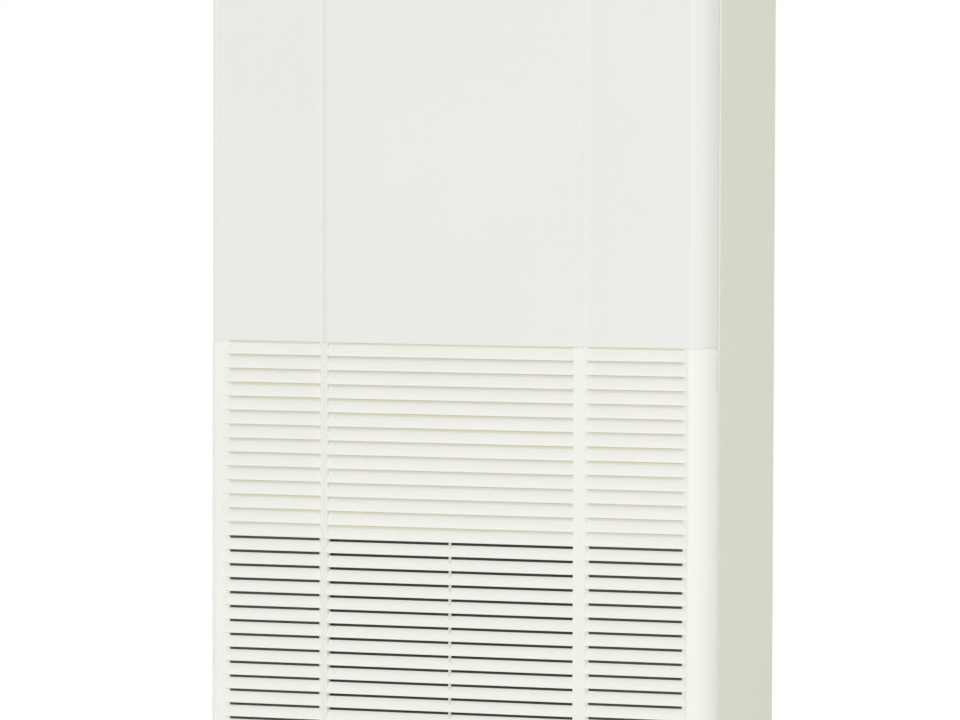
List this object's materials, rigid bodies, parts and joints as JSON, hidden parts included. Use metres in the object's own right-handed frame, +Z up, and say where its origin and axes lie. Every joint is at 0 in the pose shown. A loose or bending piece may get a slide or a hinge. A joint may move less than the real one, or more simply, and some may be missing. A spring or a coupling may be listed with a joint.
{
  "type": "floor standing air conditioner",
  "caption": "Floor standing air conditioner: white cabinet with a louvred intake grille, fan, coil, swinging discharge louvres and a built-in controller.",
  "frame": {"origin": "middle of the cabinet's footprint, on the floor", "axes": "+Z up, the front faces -Y, +X is to the right of someone who faces the unit"},
  "size_m": [0.6, 0.27, 1.85],
  "materials": {
    "panel_white": "satin moulded plastic, neutral white",
    "grille_white": "satin moulded plastic, slightly creamier white",
    "cabinet_paint": "satin ivory paint on folded steel",
    "zinc_steel": "bare zinc-coated sheet",
    "bright_steel": "turned or plated steel",
    "filter_plastic": "matt dark grey plastic",
    "filter_mesh": "fine dark plastic net",
    "fan_plastic": "matt grey plastic",
    "motor_paint": "dark grey enamel",
    "rubber": "soft black rubber",
    "fin_aluminium": "bright fins",
    "copper": "bare copper tube",
    "brass": "machined brass",
    "pan_plastic": "matt grey plastic",
    "foam": "white expanded foam",
    "louvre_plastic": "matt off-white plastic",
    "board_green": "green circuit board",
    "terminal_black": "black phenolic",
    "controller_plastic": "satin light grey-white plastic",
    "display": "clear window over a grey-green display",
    "key_grey": "matt grey keys"
  },
  "bodies": {
    "cabinet": {"base_frame": "zinc_steel", "bell_mouth": "zinc_steel", "cabinet_screws": "bright_steel", "circuit_board": "board_green", "coil_end_plates": "zinc_steel", "coil_fins": "fin_aluminium", "coil_return_bends": "copper", "control_box": "zinc_steel", "control_box_cover": "zinc_steel", "controller_case": "controller_plastic", "discharge_duct": "foam", "display_window": "display", "drain_pan": "pan_plastic", "drain_spigot": "pan_plastic", "duct_front_cover": "zinc_steel", "duct_liners": "foam", "fan_casing": "zinc_steel", "fan_deck": "zinc_steel", "fan_motor": "motor_paint", "flap_motor": "motor_paint", "gas_pipe": "copper", "grille_catches": "louvre_plastic", "grille_hinge_pins": "bright_steel", "left_side_panel": "cabinet_paint", "liquid_pipe": "copper", "louvre_frame": "louvre_plastic", "motor_bracket": "zinc_steel", "motor_isolators": "rubber", "outlet_panel": "panel_white", "pipe_unions": "brass", "rear_panel": "zinc_steel", "right_side_panel": "cabinet_paint", "terminal_block": "terminal_black", "top_panel": "cabinet_paint", "upper_front_panel": "panel_white", "vane_motor": "motor_paint"},
    "grille": {"intake_grille": "grille_white"},
    "air_filter": {"filter_frame": "filter_plastic", "filter_net": "filter_mesh"},
    "rotor": {"fan_rotor": "fan_plastic", "fan_blades": "fan_plastic", "fan_nut": "bright_steel", "motor_shaft": "bright_steel"},
    "flap_bar": {"flap_link": "louvre_plastic"},
    "vane_bar": {"vane_link": "louvre_plastic"},
    "lid": {"controller_lid": "controller_plastic"},
    "power_key": {"on_off_button": "key_grey"},
    "rocker_key": {"temperature_rocker": "key_grey"},
    "mode_key": {"mode_button": "key_grey"},
    "flap_body_1": {"flap_1": "louvre_plastic"},
    "flap_body_2": {"flap_2": "louvre_plastic"},
    "flap_body_3": {"flap_3": "louvre_plastic"},
    "flap_body_4": {"flap_4": "louvre_plastic"},
    "flap_body_5": {"flap_5": "louvre_plastic"},
    "vane_body_1": {"vane_1": "louvre_plastic"},
    "vane_body_2": {"vane_2": "louvre_plastic"},
    "vane_body_3": {"vane_3": "louvre_plastic"},
    "vane_body_4": {"vane_4": "louvre_plastic"},
    "vane_body_5": {"vane_5": "louvre_plastic"},
    "vane_body_6": {"vane_6": "louvre_plastic"}
  },
  "joints": [
    {"name": "grille_hinge", "type": "hinge", "parent": "cabinet", "child": "grille", "pos_m": [0, -0.092, 0.04], "axis": [1, 0, 0], "range_deg": [0, 30]},
    {"name": "filter_slide", "type": "slide", "parent": "grille", "child": "air_filter", "axis": [0, 0, 1], "range_m": [0, 0.2]},
    {"name": "fan_spin", "type": "hinge", "parent": "cabinet", "child": "rotor", "pos_m": [-0.022, 0, 0.4], "axis": [0, 1, 0], "continuous": true},
    {"name": "flap_3_turn", "type": "hinge", "parent": "cabinet", "child": "flap_body_3", "pos_m": [0, -0.096, 1.675], "axis": [1, 0, 0], "range_deg": [-25, 35]},
    {"name": "flap_1_turn", "type": "hinge", "parent": "cabinet", "child": "flap_body_1", "pos_m": [0, -0.096, 1.575], "axis": [1, 0, 0], "range_deg": [-25, 35]},
    {"name": "flap_2_turn", "type": "hinge", "parent": "cabinet", "child": "flap_body_2", "pos_m": [0, -0.096, 1.625], "axis": [1, 0, 0], "range_deg": [-25, 35]},
    {"name": "flap_4_turn", "type": "hinge", "parent": "cabinet", "child": "flap_body_4", "pos_m": [0, -0.096, 1.725], "axis": [1, 0, 0], "range_deg": [-25, 35]},
    {"name": "flap_5_turn", "type": "hinge", "parent": "cabinet", "child": "flap_body_5", "pos_m": [0, -0.096, 1.775], "axis": [1, 0, 0], "range_deg": [-25, 35]},
    {"name": "flap_bar_turn", "type": "hinge", "parent": "flap_body_3", "child": "flap_bar", "pos_m": [0, -0.08426, 1.67749], "axis": [1, 0, 0], "range_deg": [-35, 25]},
    {"name": "vane_4_turn", "type": "hinge", "parent": "cabinet", "child": "vane_body_4", "pos_m": [0.037, -0.048, 1.675], "axis": [0, 0, 1], "range_deg": [-35, 35]},
    {"name": "vane_1_turn", "type": "hinge", "parent": "cabinet", "child": "vane_body_1", "pos_m": [-0.185, -0.048, 1.675], "axis": [0, 0, 1], "range_deg": [-35, 35]},
    {"name": "vane_2_turn", "type": "hinge", "parent": "cabinet", "child": "vane_body_2", "pos_m": [-0.111, -0.048, 1.675], "axis": [0, 0, 1], "range_deg": [-35, 35]},
    {"name": "vane_3_turn", "type": "hinge", "parent": "cabinet", "child": "vane_body_3", "pos_m": [-0.037, -0.048, 1.675], "axis": [0, 0, 1], "range_deg": [-35, 35]},
    {"name": "vane_5_turn", "type": "hinge", "parent": "cabinet", "child": "vane_body_5", "pos_m": [0.111, -0.048, 1.675], "axis": [0, 0, 1], "range_deg": [-35, 35]},
    {"name": "vane_6_turn", "type": "hinge", "parent": "cabinet", "child": "vane_body_6", "pos_m": [0.185, -0.048, 1.675], "axis": [0, 0, 1], "range_deg": [-35, 35]},
    {"name": "vane_bar_turn", "type": "hinge", "parent": "vane_body_4", "child": "vane_bar", "pos_m": [0.037, -0.034, 1.553], "axis": [0, 0, 1], "range_deg": [-35, 35]},
    {"name": "lid_hinge", "type": "hinge", "parent": "cabinet", "child": "lid", "pos_m": [0, -0.1328, 1.406], "axis": [1, 0, 0], "range_deg": [0, 100]},
    {"name": "power_key_push", "type": "slide", "parent": "cabinet", "child": "power_key", "axis": [0, 1, 0], "range_m": [0, 0.0008], "stiffness_N_per_m": 600},
    {"name": "mode_key_push", "type": "slide", "parent": "cabinet", "child": "mode_key", "axis": [0, 1, 0], "range_m": [0, 0.0008], "stiffness_N_per_m": 600},
    {"name": "rocker_key_tip", "type": "hinge", "parent": "cabinet", "child": "rocker_key", "pos_m": [0.028, -0.1327, 1.476], "axis": [1, 0, 0], "range_deg": [-4, 4], "stiffness_Nm_per_rad": 0.3}
  ],
  "couplings": [
    {"joint": "flap_1_turn", "follows": "flap_3_turn", "ratio": 1},
    {"joint": "flap_2_turn", "follows": "flap_3_turn", "ratio": 1},
    {"joint": "flap_4_turn", "follows": "flap_3_turn", "ratio": 1},
    {"joint": "flap_5_turn", "follows": "flap_3_turn", "ratio": 1},
    {"joint": "flap_bar_turn", "follows": "flap_3_turn", "ratio": -1},
    {"joint": "vane_1_turn", "follows": "vane_4_turn", "ratio": 1},
    {"joint": "vane_2_turn", "follows": "vane_4_turn", "ratio": 1},
    {"joint": "vane_3_turn", "follows": "vane_4_turn", "ratio": 1},
    {"joint": "vane_5_turn", "follows": "vane_4_turn", "ratio": 1},
    {"joint": "vane_6_turn", "follows": "vane_4_turn", "ratio": 1},
    {"joint": "vane_bar_turn", "follows": "vane_4_turn", "ratio": -1}
  ]
}
